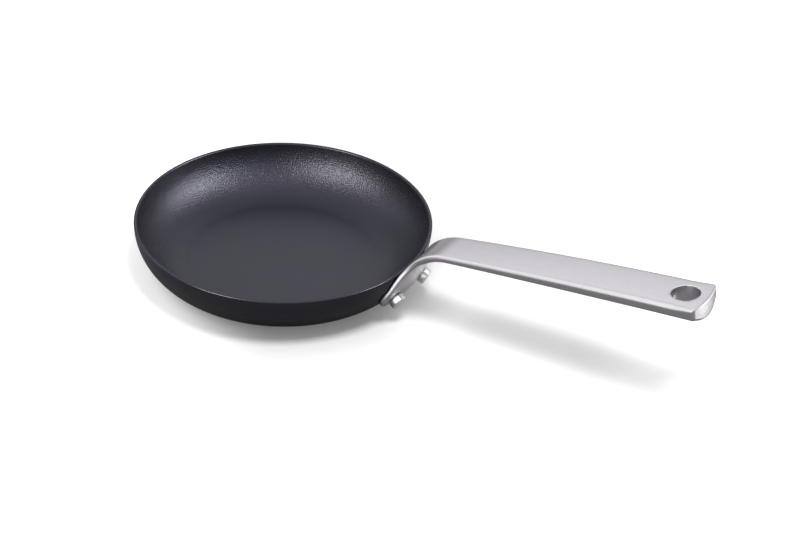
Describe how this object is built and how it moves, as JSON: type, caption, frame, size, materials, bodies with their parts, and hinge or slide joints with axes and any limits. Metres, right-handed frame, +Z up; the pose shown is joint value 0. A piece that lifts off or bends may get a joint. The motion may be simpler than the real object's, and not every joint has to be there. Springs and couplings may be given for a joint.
{
  "type": "frying pan",
  "caption": "Shallow round frying pan with curved black coated walls, a flat base and a long steel handle, riveted on and pierced for hanging.",
  "frame": {"origin": "on the pan's axis, at the underside of the base disc, where the pan stands on a table", "axes": "+Z up out of the bowl, +X along the handle away from the bowl, +Y to the left of someone looking along the handle from the bowl"},
  "size_m": [0.418, 0.204, 0.085],
  "materials": {
    "coating": "matte black non-stick coating over the aluminium, inside and out",
    "disc_steel": "turned satin",
    "handle_steel": "satin",
    "rivet_metal": "bright satin"
  },
  "bodies": {
    "root": {"pan_body": "coating", "base_disc": "disc_steel", "handle": "handle_steel", "rivet_left": "rivet_metal", "rivet_right": "rivet_metal"}
  },
  "joints": []
}
